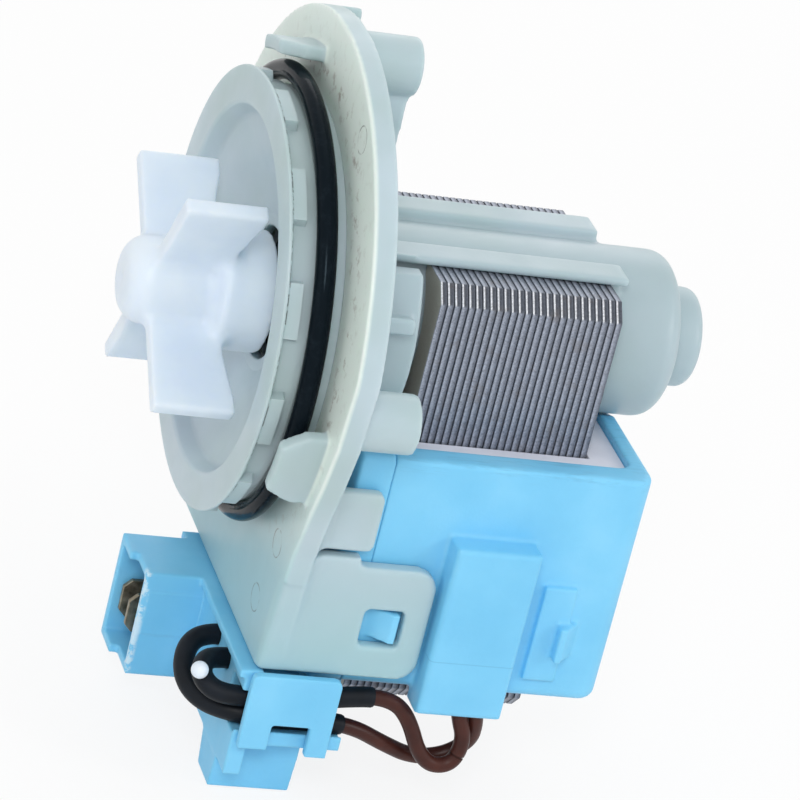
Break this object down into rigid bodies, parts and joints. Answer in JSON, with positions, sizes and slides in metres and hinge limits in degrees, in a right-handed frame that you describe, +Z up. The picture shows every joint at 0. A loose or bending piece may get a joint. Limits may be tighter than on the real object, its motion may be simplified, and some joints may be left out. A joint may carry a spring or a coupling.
{
  "type": "drain pump",
  "caption": "Synchronous drain pump with four-vane impeller, bayonet flange and seal ring, laminated U-core and blue coil cover with plug socket.",
  "frame": {"origin": "on the shaft axis, in the plane of the flange's front face, which seats on the sump", "axes": "+X along the shaft from the impeller to the motor's tail, +Z up through the top boss and away from the coils, -Y towards the side with the leads"},
  "size_m": [0.0879, 0.085, 0.1118],
  "materials": {
    "pp_moulding": "semi-matt, slightly see-through",
    "blue_moulding": "semi-matt",
    "nylon": "semi-matt",
    "core_steel": "punched sheets, satin",
    "rubber": "wet black gloss",
    "bumper_rubber": "matt",
    "acetal": "satin",
    "shaft_steel": "ground",
    "ferrite": "matt sintered",
    "bearing_ceramic": "polished",
    "copper_wire": "enamelled",
    "card": "smooth white card",
    "cutout_case": "matt",
    "tinned_brass": "tinned, dull",
    "lead_insulation": "soft PVC",
    "sleeve_black": "semi-matt PVC"
  },
  "bodies": {
    "housing": {"pump_flange": "pp_moulding", "front_dish": "pp_moulding", "o_ring": "rubber", "front_bearing": "bearing_ceramic", "front_grommet": "rubber", "rear_bearing": "bearing_ceramic", "rear_grommet": "rubber", "near_leg_sheets": "core_steel", "far_leg_sheets": "core_steel", "yoke_sheets": "core_steel", "near_bobbin": "nylon", "far_bobbin": "nylon", "near_winding": "copper_wire", "far_winding": "copper_wire", "insulation_card": "card", "coil_cover": "blue_moulding", "cover_front": "blue_moulding", "thermal_cutout": "cutout_case", "terminal_housing": "blue_moulding", "spade_terminals": "tinned_brass", "wire_clip": "blue_moulding", "lower_lead": "lead_insulation", "upper_lead": "lead_insulation", "lower_sleeve": "sleeve_black", "upper_sleeve": "sleeve_black", "lead_bead": "nylon"},
    "rotor": {"shaft": "shaft_steel", "rotor_magnet": "ferrite", "rotor_carrier": "acetal", "drive_dog": "acetal", "front_washer": "acetal", "rear_washer": "acetal"},
    "impeller": {"impeller": "nylon", "hub_cap": "nylon", "stop_bumpers": "bumper_rubber"}
  },
  "joints": [
    {"name": "rotor_spin", "type": "hinge", "parent": "housing", "child": "rotor", "pos_m": [0.03, 0, 0], "axis": [1, 0, 0], "continuous": true},
    {"name": "impeller_free_play", "type": "hinge", "parent": "rotor", "child": "impeller", "pos_m": [-0.01, 0, 0], "axis": [1, 0, 0], "range_deg": [-125, 125]}
  ]
}
